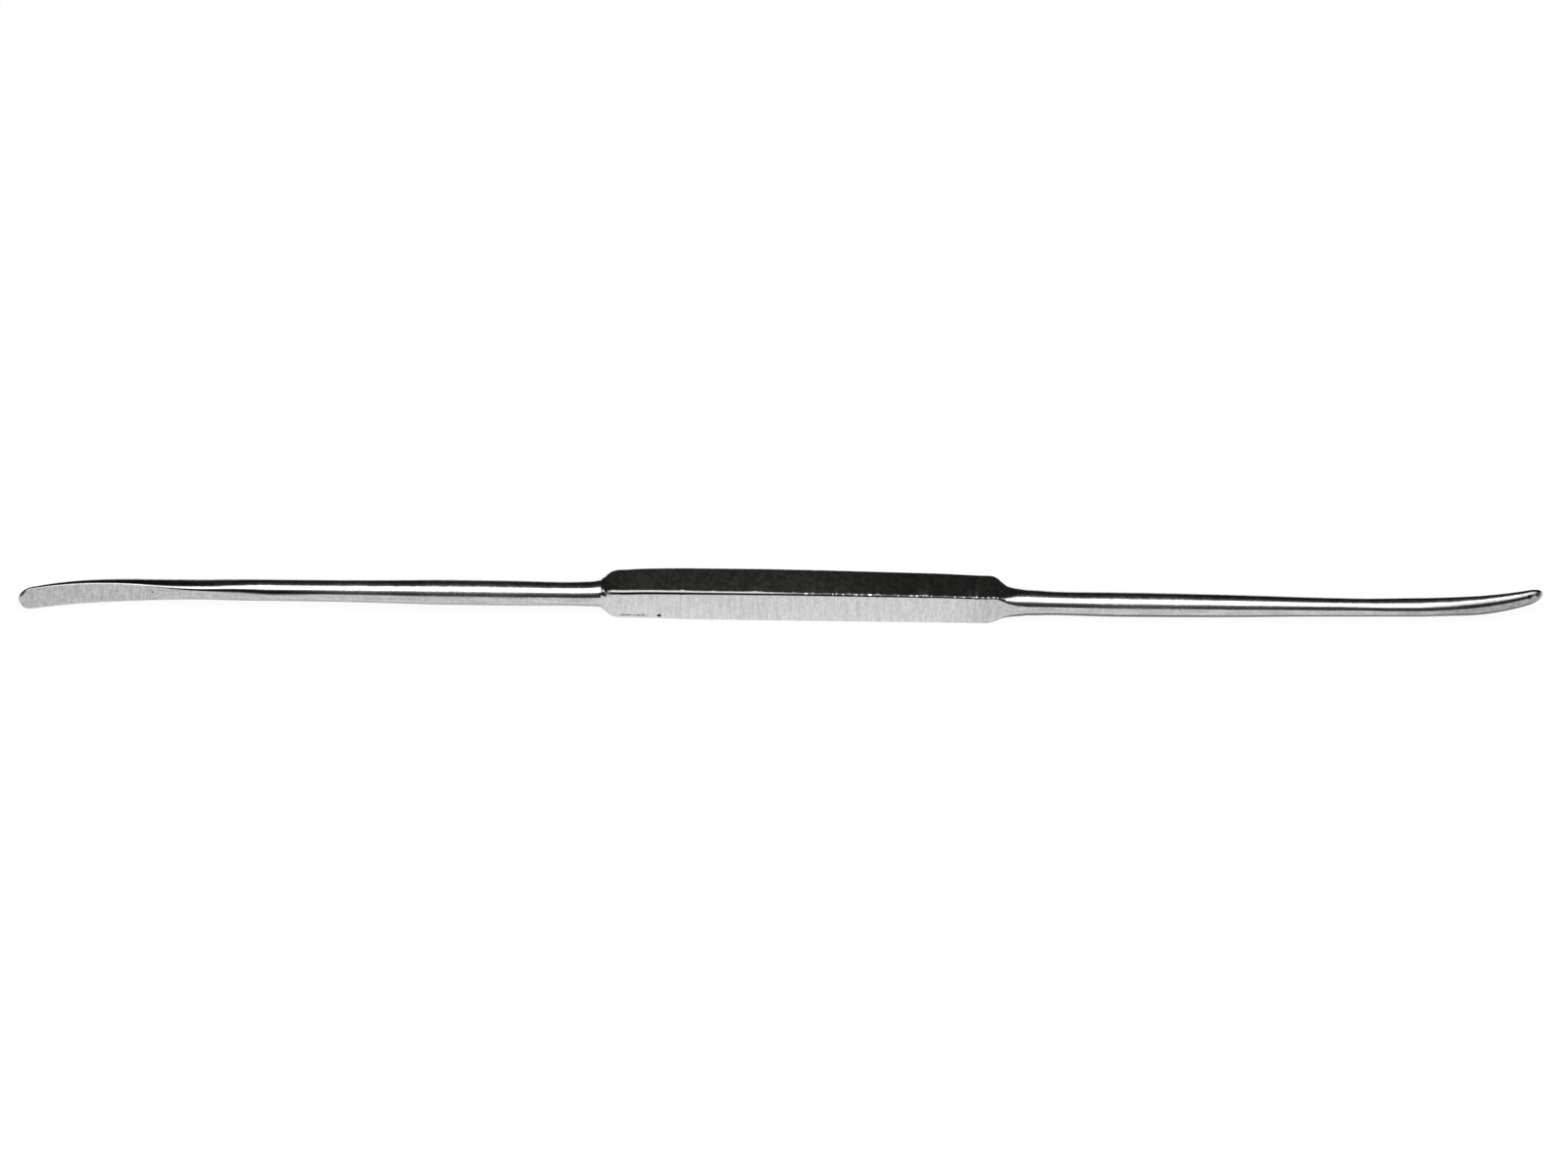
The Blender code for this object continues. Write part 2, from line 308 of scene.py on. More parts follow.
def round_tip(points, to_tip, end):
    width = math.sqrt(1.0 - max(0.0, 1.0 - to_tip / end.tip_width) ** 2)
    depth = math.sqrt(1.0 - max(0.0, 1.0 - to_tip / end.tip_depth) ** 2)
    flat = end.side * max(end.side * y for y, _ in points)
    back = end.side * min(end.side * y for y, _ in points)
    nose = flat + (back - flat) * end.nose
    return [(nose + (y - nose) * depth, z * width) for y, z in points]


def bend(end, x, y):
    run = end.side * (x - end.bend_start)
    if run <= 0.0:
        return x, y
    angle = run / end.bend_radius
    arm = end.bend_radius - end.side * y
    forward = arm * math.sin(angle)
    aside = end.bend_radius - arm * math.cos(angle)
    return end.bend_start + end.side * forward, end.side * aside


def tip_place(end):
    thickness = end.thickness[0 if end.side < 0 else -1][1]
    middle = end.middle[0 if end.side < 0 else -1][1]
    arm = end.bend_radius - (0.5 - end.nose) * thickness - end.side * middle
    return end.bend_start + end.side * end.bend_radius * math.asin((LENGTH / 2 - abs(end.bend_start)) / arm)


def end_stops(end, shoulder):
    tip = tip_place(end)
    closing = max(end.tip_width, end.tip_depth)
    round_start = tip - end.side * closing
    fillet_end = shoulder + end.side * FILLET_LENGTH
    stops = evenly(shoulder, fillet_end, FILLET_STEP)
    stops += evenly(fillet_end, blade_start(end), SHAFT_STEP)
    stops += evenly(blade_start(end), round_start, BLADE_STEP)
    for step in range(TIP_STEPS):
        stops.append(round_start + end.side * closing * math.sin(math.pi / 2 * step / TIP_STEPS))
    return stops + [tip - end.side * TIP_END], tip


def end_rings(end, shoulder):
    stops, tip = end_stops(end, shoulder)
    rings = []
    for x in stops:
        middle_y, middle_z = axis_place(end, x)
        points, edges, grounds = shaft_or_blade_section(end, x)
        ring = []
        for y, z in round_tip(points, abs(tip - x), end):
            bent_x, bent_y = bend(end, x, y)
            ring.append((bent_x, middle_y + bent_y, middle_z + z))
        rings.append((ring, edges, grounds))
    return rings


def all_rings():
    left_end = end_rings(LEFT, LEFT_SHOULDER_WIDTH[0][0])
    right_end = end_rings(RIGHT, RIGHT_SHOULDER_WIDTH[-1][0])
    left_shoulder = shoulder_rings(LEFT, LEFT_SHOULDER_WIDTH, LEFT_SHOULDER_EDGE)
    right_shoulder = shoulder_rings(RIGHT, RIGHT_SHOULDER_WIDTH, RIGHT_SHOULDER_EDGE)
    return left_end[:0:-1] + left_shoulder + handle_rings() + right_shoulder + right_end


def add_marks(mesh, name, values):
    layer = mesh.attributes.new(name=name, type="FLOAT", domain="POINT")
    layer.data.foreach_set("value", values)


def sharpen_flats(mesh, count):
    """Marks the edges of the two flats, which run along the first and the middle points of the sections."""
    for edge in mesh.edges:
        near, far = sorted(edge.vertices)
        if far - near != count:
            continue
        x = mesh.vertices[near].co.x / MM
        column = near % count
        on_left = x < LEFT_FLAT_START and column in (0, count - 1)
        on_right = x > RIGHT_FLAT_START and column in (count // 2 - 1, count // 2)
        if on_left or on_right:
            edge.use_edge_sharp = True


def build_steel(material):
    """One skin over all the sections, in metres and centred in plan."""
    rings = all_rings()
    count = len(rings[0][0])
    points = [point for ring, _, _ in rings for point in ring]
    faces = []
    for row in range(len(rings) - 1):
        for i in range(count):
            j = (i + 1) % count
            near = row * count
            far = near + count
            faces.append((near + i, far + i, far + j, near + j))
    faces.append(tuple(range(count)))
    faces.append(tuple(reversed(range((len(rings) - 1) * count, len(rings) * count))))
    mesh = bpy.data.meshes.new("retractor_steel")
    mesh.from_pydata(points, [], faces)
    add_marks(mesh, "edge", [mark for _, edges, _ in rings for mark in edges])
    add_marks(mesh, "ground", [mark for _, _, grounds in rings for mark in grounds])
    mesh.transform(Matrix.Scale(MM, 4))
    xs = [vertex.co.x for vertex in mesh.vertices]
    ys = [vertex.co.y for vertex in mesh.vertices]
    mesh.transform(Matrix.Translation(((min(xs) + max(xs)) / -2, (min(ys) + max(ys)) / -2, 0.0)))
    mesh.shade_smooth()
    mesh.set_sharp_from_angle(angle=SHARP_ANGLE)
    sharpen_flats(mesh, count)
    mesh.materials.append(material)
    piece = bpy.data.objects.new("retractor_steel", mesh)
    bpy.context.scene.collection.objects.link(piece)
    return piece


# In what follows a place is in millimetres along X from the middle, a slope is the normal's Z, from -1
# facing down to 1 facing up, a turn is the normal's Y, from -1 facing front to 1 facing back, a level
# is a value of a noise, and a shade is a factor of the colour.

WHITE = (1.0, 1.0, 1.0, 1.0)

# Colours of the steel: darkest and lightest grain of the handle and of the blades, whose darker pair is
# painted shade toward the ends; the upper edges' colours, which dim their highlight as painted shade,
# with painted glints; painted shade on the handle's top; and a near black for small dark marks and
# painted shade
STEEL_DARK = (0.49, 0.49, 0.487, 1.0)
STEEL_LIGHT = (0.71, 0.71, 0.706, 1.0)
BLADE_DARK = (0.32, 0.32, 0.318, 1.0)
BLADE_LIGHT = (0.60, 0.60, 0.597, 1.0)
EDGE_HIGHLIGHT_SHADE_LEFT = (0.25, 0.25, 0.248, 1.0)
EDGE_HIGHLIGHT_SHADE_RIGHT = (0.055, 0.055, 0.055, 1.0)
EDGE_PAINTED_GLINT = (0.62, 0.62, 0.616, 1.0)
TOP_PAINTED_SHADE = (0.38, 0.38, 0.377, 1.0)
DIRT_AND_PAINTED_SHADE = (0.035, 0.035, 0.035, 1.0)

# The blades' darker colour, painted shade where the light falls off toward the ends, sets in by this
# share at the shafts' roots and in full toward the blades, at these distances out from the middle of the
# length
SHAFT_PLACES = (21.0, 26.0)
SHAFT_SHARE = 0.6
BLADE_PLACES = (60.0, 85.0)

# Painted darker reflection on the level top of the handle's right part
TOP_SHADE_STARTS = (2.0, 16.0)
TOP_SHADE_ENDS = (26.0, 33.0)
LEVEL_SLOPES = (0.8, 0.95)

# The upper edges, whose colour dims their highlight as painted shade: the edge marks and the height
# above the table at which they set in, where the painted shade deepens along the handle, and the levels
# of their noise at which painted glints start
EDGE_ARC_LEVELS = (0.2, 0.7)
EDGE_HEIGHTS = (2.6, 3.4)
EDGE_SHADE_PLACES = (-4.0, 5.0)
GLINT_LEVELS = (0.53, 0.60)

# Noises of the finish: cells per millimetre, levels of detail, and how rough each level is
MOTTLE = (2.2, 5.0, 0.6)
SPECKLE = (6.5, 3.0, 0.6)
STREAKS = (1.0, 3.0, 0.6)
BREAKS = (1.0, 4.0, 0.7)
CLOUDS = (1.1, 3.0, 0.55)
BLOTCHES = (3.2, 2.0, 0.55)
HAND_WORK = (1.0, 1.0, 0.55)

# How much faster some of them change along X, Y and Z
ACROSS_STRETCH = (6.5, 0.6, 0.6)
ALONG_STRETCH = (0.25, 4.0, 4.0)
BREAK_STRETCH = (2.6, 0.3, 0.3)
HAND_WORK_STRETCH = (0.07, 0.1, 0.1)

# Shares of three noises in the grain, and the sums at which the grain is darkest and lightest
MOTTLE_SHARE = 0.25
STREAK_SHARE = 0.45
SPECKLE_SHARE = 0.30
GRAIN_LEVELS = (0.36, 0.64)

# Faint clouds on level faces: levels of their noise, and how dark and light they make the steel
CLOUD_LEVELS = (0.38, 0.62)
CLOUD_SHADES = (0.80, 1.18)

# Roughness, with the levels of the noise that varies it on the shafts and of the speckle added to it
SHAFT_ROUGHNESS = (0.10, 0.21)
HAND_WORK_LEVELS = (0.40, 0.62)
FLAT_ROUGHNESS = 0.22
EDGE_ROUGHNESS = 0.08
SPECKLE_LEVELS = (0.3, 0.7)
SPECKLE_ROUGHNESS = (-0.03, 0.05)

# Relief of the grain: its depth in metres, its strength, and the speckle's and the pit's part in it
GRAIN_DEPTH = 0.000004
GRAIN_STRENGTH = 0.35
SPECKLE_RELIEF = 0.4
PIT_RELIEF = 8.0

# Round marks: place in millimetres, and the radii where each starts and ends to fade
PIT = ((-15.16, -2.36, 0.80), 0.22, 0.31)
PINHOLE = ((-78.36, -1.02, 2.42), 0.14, 0.20)
PINHOLE_SHARE = 0.7
# Painted dark reflections at the tips: a crescent at the left one and the end of the right one
TIP_PAINTED_SHADES = (
    ((-96.0, -2.4, 4.515), 2.08, 2.22),
    ((94.45, 1.80, 2.42), 0.32, 0.52),
    ((93.35, 1.15, 2.50), 0.20, 0.40),
)
TIP_SHADE_SHARE = 0.9
# The tips' painted shade fades out on faces that turn to the back by this much
TIP_SHADE_TURNS = (0.3, 0.6)

# Painted shade in soft-edged boxes, by centre and reach: a broken dark line along the handle's lower
# edge, and a dark patch under its upper edge at the left shoulder
LOWER_EDGE_PAINTED_SHADE = ((-18.3, -2.33, 0.78), (2.1, 0.6, 0.11))
SHOULDER_PAINTED_SHADE = ((-22.2, -1.6, 3.52), (0.62, 0.40, 0.30))
BLOTCH_LEVELS = (0.38, 0.52)
# Share of a box's reach at which its mark starts to fade
BOX_CORE = 0.6

# Painted shade and light by slope: darker on the front of the upper edges, darker on the top and
# lighter on the front of the right blade, and darker on the top of the left one
RIDGE_SLOPES = (0.60, 0.78)
RIDGE_SHADE = 0.35
RIGHT_BLADE_PLACES = (76.0, 84.0)
RIGHT_TOP_SLOPES = (0.76, 0.88)
RIGHT_TOP_SHADE = 0.55
RIGHT_FRONT_SLOPES = (0.40, 0.65)
RIGHT_FRONT_SHADE = 1.36
LEFT_BLADE_PLACES = (-80.0, -70.0)
LEFT_TOP_TURNS = (0.0, 0.35)
LEFT_TOP_SLOPES = (0.84, 0.91)
LEFT_TOP_SHADE = 0.3

# Painted dark reflection line above the left flat, where it leaves the round shaft
LINE_STARTS = (-77.5, -74.5)
LINE_ENDS = (-63.0, -56.0)
LINE_LOWER_SLOPES = (0.20, 0.34)
LINE_UPPER_SLOPES = (0.60, 0.74)
LINE_TURNS = (-0.3, 0.0)
LINE_SHADE = 0.2

# Painted shade on the underside of the shafts and blades, at the left of the handle and at its right
UNDERSIDE_SLOPES = (-0.36, -0.18)
UNDERSIDE_PLACES = (19.5, 21.0)
UNDERSIDE_CHANGE = (-1.0, 1.0)
UNDERSIDE_SHADES = (0.75, 0.06)

# Softbox: degrees above the front horizon, metres away, metres wide and high, and its radiance
SOFTBOX_TILT = 71.5
SOFTBOX_DISTANCE = 0.9
SOFTBOX_SIZE = (5.0, 0.70)
SOFTBOX_RADIANCE = 2.1

# Table: metres wide, its colour, its glow to the camera and in the steel, and its fine tooth, with
# cells per metre and a depth in metres
FLOOR_SIZE = 40.0
FLOOR_COLOUR = (0.92, 0.92, 0.92, 1.0)
FLOOR_GLOW_TO_EYE = 0.95
FLOOR_GLOW_IN_STEEL = 0.6
FLOOR_TOOTH = (900.0, 3.0, 0.55)
FLOOR_TOOTH_DEPTH = 0.0001
FLOOR_TOOTH_STRENGTH = 0.05

# Brightness of the studio by its angle from the front horizon, over the top, to the back horizon
STUDIO = (
    (0.0, 1.0), (1.0, 1.0), (2.5, 0.06), (14.0, 0.05), (27.0, 0.06),
    (36.0, 0.16), (46.0, 0.5), (53.0, 1.0), (90.0, 0.55), (97.0, 0.30),
    (106.0, 0.11), (118.0, 0.045), (130.0, 0.026), (150.0, 0.018), (180.0, 0.015),
)
STUDIO_SPAN = 180.0
# From this angle on, the room behind is dark and faintly green
ROOM_FROM = 97.0
ROOM_TINT = (0.95, 1.04, 0.91)
# White screens at both ends of the table: how near a direction lies to the X axis and how far to the
# front, and their brightness
SCREEN_SIDES = (0.80, 0.93)
SCREEN_FRONTS = (-0.15, 0.10)
SCREEN_LEVEL = 0.8

# Camera: degrees above the horizon, roll in radians, the point it looks at in millimetres along X and
# up the picture, millimetres across the picture, lens and sensor, and metres that it sees between
CAMERA_ELEVATION = 42.5
CAMERA_ROLL = 0.0125
CAMERA_TARGET_X = 0.37
CAMERA_TARGET_RISE = 2.565
FRAME_WIDTH = 195.6
LENS = 800.0
SENSOR = 36.0
NEAREST_SEEN = 0.01
FARTHEST_SEEN = 100.0

# Sockets of the Mix node by the kind of data: first value, second value, result
MIX_SOCKETS = {"RGBA": (6, 7, 2), "FLOAT": (2, 3, 0)}


class Shader:
    """Small helper to write a node tree: nodes take numbers or other nodes' outputs."""

    def __init__(self, tree):
        self.tree = tree

    def feed(self, socket, value):
        if isinstance(value, bpy.types.NodeSocket):
            self.tree.links.new(value, socket)
        else:
            socket.default_value = value

    def add(self, kind, values=(), **settings):
        made = self.tree.nodes.new(kind)
        for name, value in settings.items():
            setattr(made, name, value)
        for key, value in dict(values).items():
            self.feed(made.inputs[key], value)
        return made

    def math(self, operation, *values, clamp=False):
        made = self.add("ShaderNodeMath", enumerate(values), operation=operation, use_clamp=clamp)
        return made.outputs[0]

    def times(self, product, *factors):
        for factor in factors:
            product = self.math("MULTIPLY", product, factor)
        return product

    def between(self, value, low, high, start=0.0, end=1.0):
        """Runs smoothly from start to end while the value goes from low to high."""
        values = {"Value": value, "From Min": low, "From Max": high, "To Min": start, "To Max": end}
        return self.add("ShaderNodeMapRange", values, interpolation_type="SMOOTHSTEP").outputs["Result"]

    def inside(self, value, rise, fall):
        """Goes up from 0 to 1 over the first range of the value, and down again over the second."""
        return self.times(self.between(value, *rise), self.between(value, *fall, 1.0, 0.0))

    def mix(self, kind, share, first, second, **settings):
        first_socket, second_socket, result = MIX_SOCKETS[kind]
        values = {0: share, first_socket: first, second_socket: second}
        return self.add("ShaderNodeMix", values, data_type=kind, **settings).outputs[result]

    def mix_colour(self, share, first, second):
        return self.mix("RGBA", share, first, second)

    def mix_value(self, share, first, second):
        return self.mix("FLOAT", share, first, second)

    def shade(self, colour, level):
        return self.mix("RGBA", 1.0, colour, level, blend_type="MULTIPLY")

    def noise(self, place, scale, detail, roughness):
        values = {"Vector": place, "Scale": scale, "Detail": detail, "Roughness": roughness}
        return self.add("ShaderNodeTexNoise", values).outputs["Fac"]

    def stretched(self, place, scales):
        return self.add("ShaderNodeMapping", {"Vector": place, "Scale": scales}).outputs["Vector"]

    def axes(self, vector):
        return self.add("ShaderNodeSeparateXYZ", {"Vector": vector}).outputs

    def mark(self, name):
        return self.add("ShaderNodeAttribute", attribute_name=name).outputs["Fac"]

    def spot(self, place, centre, inner, outer):
        """1 within the inner radius of a centre, 0 past the outer one."""
        gap = self.add("ShaderNodeVectorMath", {0: place, 1: centre}, operation="DISTANCE")
        return self.between(gap.outputs["Value"], inner, outer, 1.0, 0.0)

    def box(self, place, centre, reaches):
        """1 inside a soft-edged box and 0 outside it."""
        away = self.add("ShaderNodeVectorMath", {0: place, 1: centre}, operation="SUBTRACT")
        sizes = [self.math("ABSOLUTE", away_along) for away_along in self.axes(away.outputs["Vector"])]
        sides = zip(sizes, reaches)
        return self.times(*[self.between(size, reach * BOX_CORE, reach, 1.0, 0.0) for size, reach in sides])


def new_material(name):
    material = bpy.data.materials.new(name)
    material.use_nodes = True
    material.node_tree.nodes.clear()
    return material, Shader(material.node_tree)


@dataclass(frozen=True)
class Surface:
    """What the steel's nodes know of a point: its place in millimetres, facing, marks and finest grain."""

    place: bpy.types.NodeSocket
    x: bpy.types.NodeSocket
    outward: bpy.types.NodeSocket
    height: bpy.types.NodeSocket
    backward: bpy.types.NodeSocket
    upward: bpy.types.NodeSocket
    ground: bpy.types.NodeSocket
    edge: bpy.types.NodeSocket
    across: bpy.types.NodeSocket
    speckle: bpy.types.NodeSocket


def read_surface(shader):
    coordinates = shader.add("ShaderNodeTexCoord").outputs["Object"]
    place = shader.stretched(coordinates, (1.0 / MM, 1.0 / MM, 1.0 / MM))
    places = shader.axes(place)
    facing = shader.axes(shader.add("ShaderNodeNewGeometry").outputs["Normal"])
    return Surface(
        place=place,
        x=places["X"],
        outward=shader.math("ABSOLUTE", places["X"]),
        height=places["Z"],
        backward=facing["Y"],
        upward=facing["Z"],
        ground=shader.mark("ground"),
        edge=shader.mark("edge"),
        across=shader.noise(shader.stretched(place, ACROSS_STRETCH), *STREAKS),
        speckle=shader.noise(place, *SPECKLE),
    )


def bare_colour(shader, surface):
    """Steel by its grain: a mottle, a speckle, and streaks across ground flats but along the shafts."""
    mottle = shader.noise(surface.place, *MOTTLE)
    along = shader.noise(shader.stretched(surface.place, ALONG_STRETCH), *STREAKS)
    streaks = shader.times(shader.mix_value(surface.ground, along, surface.across), STREAK_SHARE)
    grain = shader.math("MULTIPLY_ADD", mottle, MOTTLE_SHARE, streaks)
    grain = shader.math("MULTIPLY_ADD", surface.speckle, SPECKLE_SHARE, grain)
    # The darker colour toward the ends is painted shade where the light falls off
    shaft = shader.between(surface.outward, *SHAFT_PLACES, 0.0, SHAFT_SHARE)
    blade = shader.between(surface.outward, *BLADE_PLACES, 0.0, 1.0 - SHAFT_SHARE)
    share = shader.math("ADD", shaft, blade)
    dark = shader.mix_colour(share, STEEL_DARK, BLADE_DARK)
    light = shader.mix_colour(share, STEEL_LIGHT, BLADE_LIGHT)
    return shader.mix_colour(shader.between(grain, *GRAIN_LEVELS), dark, light)


def edge_highlight_shade(shader, surface):
    """Painted shade on the upper edges' highlight: slight at the left, deep at the right with painted
    glints.
    """
    breaks = shader.noise(shader.stretched(surface.place, BREAK_STRETCH), *BREAKS)
    toward_right = shader.between(surface.x, *EDGE_SHADE_PLACES)
    glints = shader.times(toward_right, shader.between(breaks, *GLINT_LEVELS))
    return shader.mix_colour(glints, shader.mix_colour(toward_right, EDGE_HIGHLIGHT_SHADE_LEFT, EDGE_HIGHLIGHT_SHADE_RIGHT), EDGE_PAINTED_GLINT)


def painted_light_by_slope(shader, surface, upper_edge):
    """Factor of the colour that paints shade and light by the slope of the steel."""
    upward = surface.upward
    ridge = shader.between(upward, *RIDGE_SLOPES, RIDGE_SHADE, 1.0)
    right_blade = shader.between(surface.x, *RIGHT_BLADE_PLACES)
    right_top = shader.between(upward, *RIGHT_TOP_SLOPES, RIGHT_TOP_SHADE, 1.0)
    right_front = shader.between(upward, *RIGHT_FRONT_SLOPES, RIGHT_FRONT_SHADE, 1.0)
    left_blade = shader.between(surface.x, *LEFT_BLADE_PLACES, 1.0, 0.0)
    left_top = shader.between(surface.backward, *LEFT_TOP_TURNS, 1.0, 0.0)
    left_shade = shader.between(upward, *LEFT_TOP_SLOPES, 1.0, LEFT_TOP_SHADE)
    along_line = shader.inside(surface.x, LINE_STARTS, LINE_ENDS)
    across_line = shader.inside(upward, LINE_LOWER_SLOPES, LINE_UPPER_SLOPES)
    line_front = shader.between(surface.backward, *LINE_TURNS, 1.0, 0.0)
    underside = shader.between(upward, *UNDERSIDE_SLOPES, 1.0, 0.0)
    past_handle = shader.between(surface.outward, *UNDERSIDE_PLACES)
    underside_shade = shader.between(surface.x, *UNDERSIDE_CHANGE, *UNDERSIDE_SHADES)
    shades = (
        (upper_edge, ridge),
        (right_blade, shader.times(right_top, right_front)),
        (shader.times(left_blade, left_top), left_shade),
        (shader.times(along_line, across_line, line_front), LINE_SHADE),
        (shader.times(underside, past_handle), underside_shade),
    )
    return shader.times(*[shader.mix_value(share, 1.0, shade) for share, shade in shades])


def dark_marks_and_painted_shade(shader, surface, colour, pit):
    """Darkens the pit and pinhole, and paints shade on the lower edge, the left shoulder and the tips."""
    blotches = shader.between(shader.noise(surface.place, *BLOTCHES), *BLOTCH_LEVELS)
    to_front = shader.between(surface.backward, *TIP_SHADE_TURNS, TIP_SHADE_SHARE, 0.0)
    marks = [
        pit,
        shader.times(shader.spot(surface.place, *PINHOLE), PINHOLE_SHARE),
        # Painted shade: a broken dark line along the handle's lower edge, and a dark patch at the left
        # shoulder
        shader.times(shader.box(surface.place, *LOWER_EDGE_PAINTED_SHADE), blotches),
        shader.box(surface.place, *SHOULDER_PAINTED_SHADE),
    ]
    # Painted dark reflections at the tips
    marks += [shader.times(to_front, shader.spot(surface.place, *tip_shade)) for tip_shade in TIP_PAINTED_SHADES]
    for mark in marks:
        colour = shader.mix_colour(mark, colour, DIRT_AND_PAINTED_SHADE)
    return colour


def steel_colour(shader, surface, pit):
    # Mask of the upper edges, which carry painted shade and painted glints on their highlight
    worn = shader.between(surface.edge, *EDGE_ARC_LEVELS)
    upper_edge = shader.times(worn, shader.between(surface.height, *EDGE_HEIGHTS))
    level_face = shader.between(surface.upward, *LEVEL_SLOPES)
    # Painted shade on the level top of the handle's right part
    top_shade = shader.times(level_face, shader.inside(surface.x, TOP_SHADE_STARTS, TOP_SHADE_ENDS))
    clouds = shader.between(shader.noise(surface.place, *CLOUDS), *CLOUD_LEVELS, *CLOUD_SHADES)
    colour = shader.mix_colour(top_shade, bare_colour(shader, surface), TOP_PAINTED_SHADE)
    colour = shader.mix_colour(upper_edge, colour, edge_highlight_shade(shader, surface))
    colour = shader.shade(colour, painted_light_by_slope(shader, surface, upper_edge))
    colour = shader.shade(colour, shader.mix_value(level_face, 1.0, clouds))
    return dark_marks_and_painted_shade(shader, surface, colour, pit)


def steel_roughness(shader, surface):
    """Uneven on the hand-polished shafts, even on the ground flats, smooth on the edges."""
    hand_work = shader.noise(shader.stretched(surface.place, HAND_WORK_STRETCH), *HAND_WORK)
    shafts = shader.between(hand_work, *HAND_WORK_LEVELS, *SHAFT_ROUGHNESS)
    rough = shader.mix_value(surface.ground, shafts, FLAT_ROUGHNESS)
    speckled = shader.between(surface.speckle, *SPECKLE_LEVELS, *SPECKLE_ROUGHNESS)
    return shader.mix_value(surface.edge, shader.math("ADD", rough, speckled), EDGE_ROUGHNESS)


def steel_relief(shader, surface, pit):
    speckle = shader.times(surface.speckle, SPECKLE_RELIEF)
    grain = shader.math("MULTIPLY_ADD", surface.across, surface.ground, speckle)
    height = shader.math("SUBTRACT", grain, shader.times(pit, PIT_RELIEF))
    values = {"Strength": GRAIN_STRENGTH, "Distance": GRAIN_DEPTH, "Height": height}
    return shader.add("ShaderNodeBump", values).outputs["Normal"]


def ground_steel():
    """Satin stainless steel: belt-ground flats with grain across the bar, smoother round shafts."""
    material, shader = new_material("ground_steel_dressed")
    surface = read_surface(shader)
    pit = shader.spot(surface.place, *PIT)
    values = {
        "Base Color": steel_colour(shader, surface, pit),
        "Metallic": 1.0,
        "Roughness": steel_roughness(shader, surface),
        "Normal": steel_relief(shader, surface, pit),
    }
    steel = shader.add("ShaderNodeBsdfPrincipled", values)
    shader.add("ShaderNodeOutputMaterial", {"Surface": steel.outputs["BSDF"]})
    return material


def white_table():
    """Matt white table that keeps a light shadow and shows as white to the eye and in the steel."""
    material, shader = new_material("white_table")
    place = shader.add("ShaderNodeTexCoord").outputs["Object"]
    tooth = shader.noise(place, *FLOOR_TOOTH)
    values = {"Strength": FLOOR_TOOTH_STRENGTH, "Distance": FLOOR_TOOTH_DEPTH, "Height": tooth}
    bump = shader.add("ShaderNodeBump", values)
    matt = shader.add("ShaderNodeBsdfDiffuse", {"Color": FLOOR_COLOUR, "Normal": bump.outputs["Normal"]})
    glow = shader.add("ShaderNodeEmission", {"Color": WHITE, "Strength": 1.0})
    rays = shader.add("ShaderNodeLightPath").outputs
    mirrored = shader.math("ADD", rays["Is Glossy Ray"], rays["Is Transmission Ray"], clamp=True)
    glow_share = shader.times(mirrored, FLOOR_GLOW_IN_STEEL)
    glow_share = shader.math("MULTIPLY_ADD", rays["Is Camera Ray"], FLOOR_GLOW_TO_EYE, glow_share)
    values = {0: glow_share, 1: matt.outputs["BSDF"], 2: glow.outputs["Emission"]}
    mixed = shader.add("ShaderNodeMixShader", values)
    shader.add("ShaderNodeOutputMaterial", {"Surface": mixed.outputs["Shader"]})
    return material


def add_floor():
    half = FLOOR_SIZE / 2
    mesh = bpy.data.meshes.new("table")
    corners = [(-half, -half, 0.0), (half, -half, 0.0), (half, half, 0.0), (-half, half, 0.0)]
    mesh.from_pydata(corners, [], [(0, 1, 2, 3)])
    mesh.materials.append(white_table())
    floor = bpy.data.objects.new("table", mesh)
    bpy.context.scene.collection.objects.link(floor)
    return floor


def add_softbox():
    """One wide softbox above and in front, aimed at the steel."""
    width, height = SOFTBOX_SIZE
    lamp = bpy.data.lights.new("softbox", "AREA")
    lamp.shape = "RECTANGLE"
    lamp.size = width
    lamp.size_y = height
    lamp.energy = SOFTBOX_RADIANCE * math.pi * width * height
    holder = bpy.data.objects.new("softbox", lamp)
    tilt = math.radians(SOFTBOX_TILT)
    place = Vector((0.0, -math.cos(tilt), math.sin(tilt))) * SOFTBOX_DISTANCE
    holder.location = place
    holder.rotation_mode = "QUATERNION"
    holder.rotation_quaternion = (-place).to_track_quat("-Z", "Y")
    holder.visible_camera = False
    bpy.context.scene.collection.objects.link(holder)


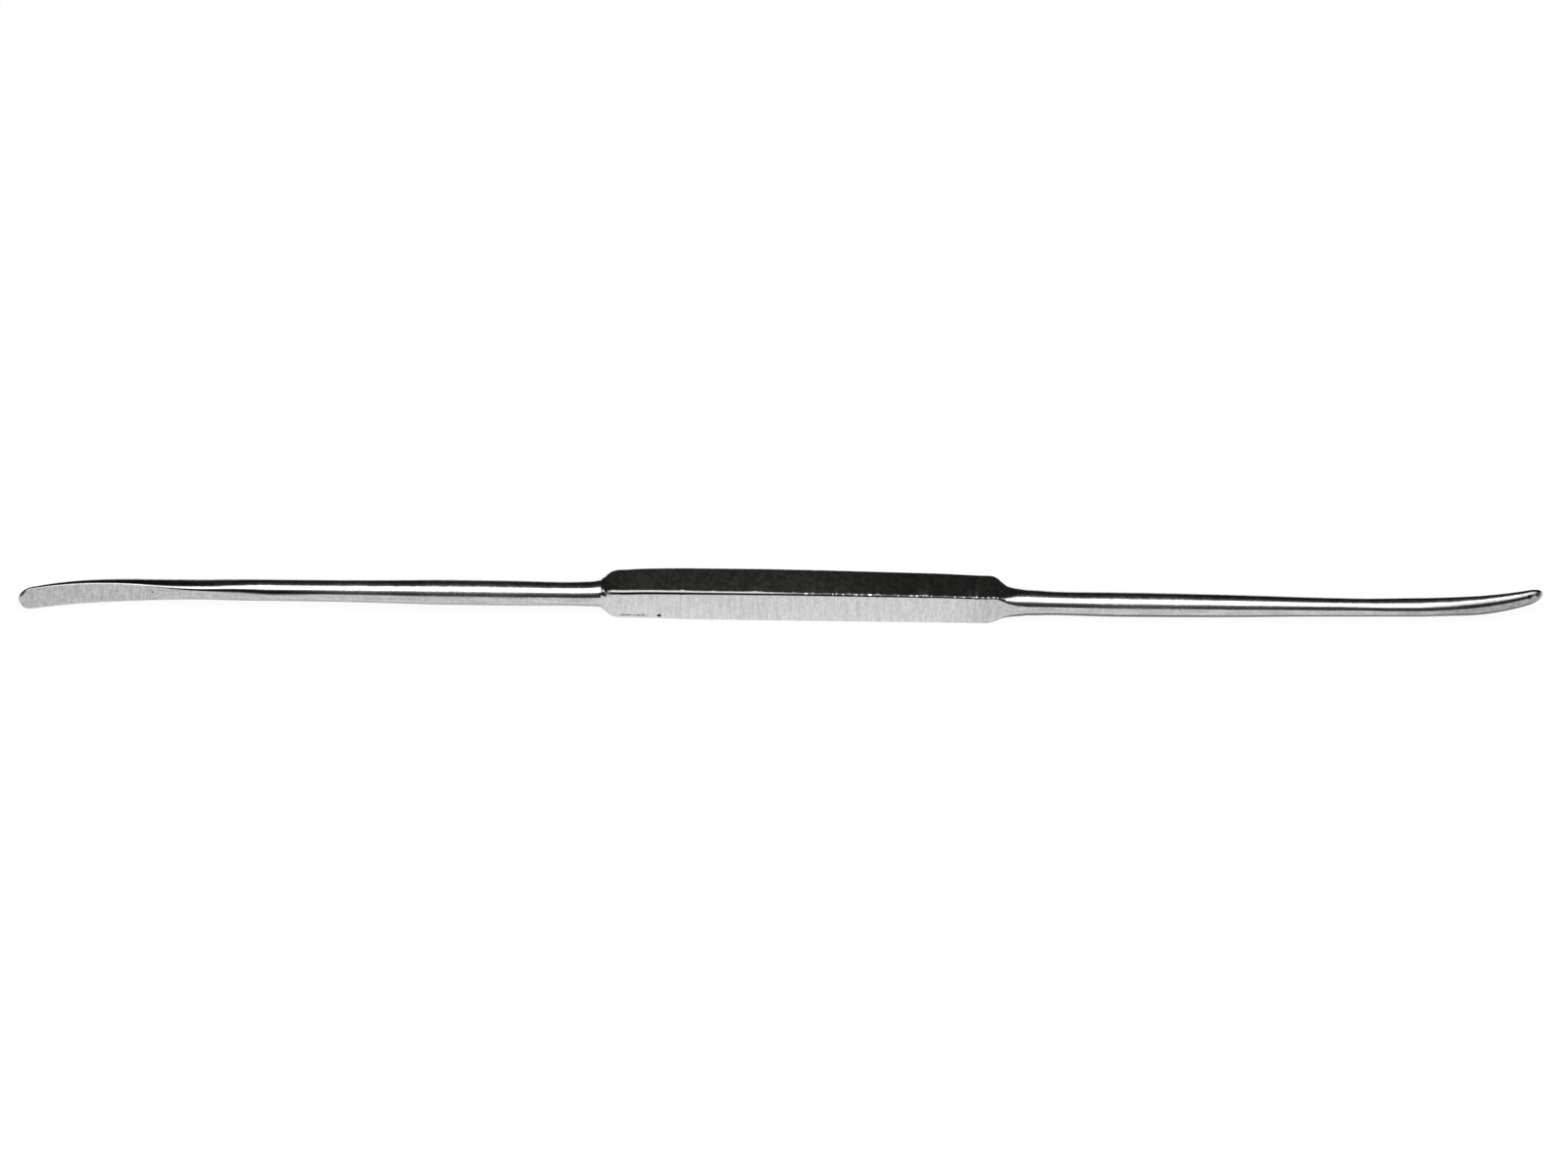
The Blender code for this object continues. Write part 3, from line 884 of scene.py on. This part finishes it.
def studio_world():
    """Plain studio: white low horizon, dark room behind and above, and a glow below the softbox."""
    world = bpy.data.worlds.new("studio")
    world.use_nodes = True
    world.node_tree.nodes.clear()
    shader = Shader(world.node_tree)
    way = shader.add("ShaderNodeTexCoord").outputs["Generated"]
    parts = shader.axes(way)
    front = shader.math("MULTIPLY", parts["Y"], -1.0)
    turn = shader.math("ARCTAN2", parts["Z"], front)
    ramp = shader.add("ShaderNodeValToRGB", {"Fac": shader.math("DIVIDE", turn, math.pi, clamp=True)})
    stops = ramp.color_ramp.elements
    while len(stops) < len(STUDIO):
        stops.new(position=0.5)
    for stop, (angle, level) in zip(stops, STUDIO):
        stop.position = angle / STUDIO_SPAN
        tint = ROOM_TINT if angle >= ROOM_FROM else WHITE[:3]
        stop.color = (*[level * part for part in tint], 1.0)
    sideways = shader.between(shader.math("ABSOLUTE", parts["X"]), *SCREEN_SIDES)
    screens = shader.times(sideways, shader.between(front, *SCREEN_FRONTS))
    level = (SCREEN_LEVEL, SCREEN_LEVEL, SCREEN_LEVEL, 1.0)
    colour = shader.mix_colour(screens, ramp.outputs["Color"], level)
    back = shader.add("ShaderNodeBackground", {"Color": colour, "Strength": 1.0})
    shader.add("ShaderNodeOutputWorld", {"Surface": back.outputs["Background"]})
    bpy.context.scene.world = world


def add_camera():
    """Long lens from the front and above, with the photograph's slight roll."""
    tilt = math.radians(CAMERA_ELEVATION)
    rise = Vector((0.0, math.sin(tilt), math.cos(tilt)))
    toward = Vector((0.0, -math.cos(tilt), math.sin(tilt)))
    across = Vector((1.0, 0.0, 0.0))
    right = across * math.cos(CAMERA_ROLL) + rise * math.sin(CAMERA_ROLL)
    upward = rise * math.cos(CAMERA_ROLL) - across * math.sin(CAMERA_ROLL)
    target = (across * CAMERA_TARGET_X + rise * CAMERA_TARGET_RISE) * MM
    distance = FRAME_WIDTH * MM * LENS / SENSOR
    turn = Matrix((right, upward, toward)).transposed()
    lens = bpy.data.cameras.new("camera")
    lens.lens = LENS
    lens.sensor_width = SENSOR
    lens.clip_start = NEAREST_SEEN
    lens.clip_end = FARTHEST_SEEN
    camera = bpy.data.objects.new("camera", lens)
    camera.location = target + toward * distance
    camera.rotation_mode = "QUATERNION"
    camera.rotation_quaternion = turn.to_quaternion()
    bpy.context.scene.collection.objects.link(camera)
    bpy.context.scene.camera = camera


steel = build_steel(ground_steel())
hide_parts(NODE)
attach(steel, "root")
floor = add_floor()
add_softbox()
studio_world()
add_camera()
bpy.context.scene.view_settings.view_transform = "Standard"
bpy.context.view_layer.update()
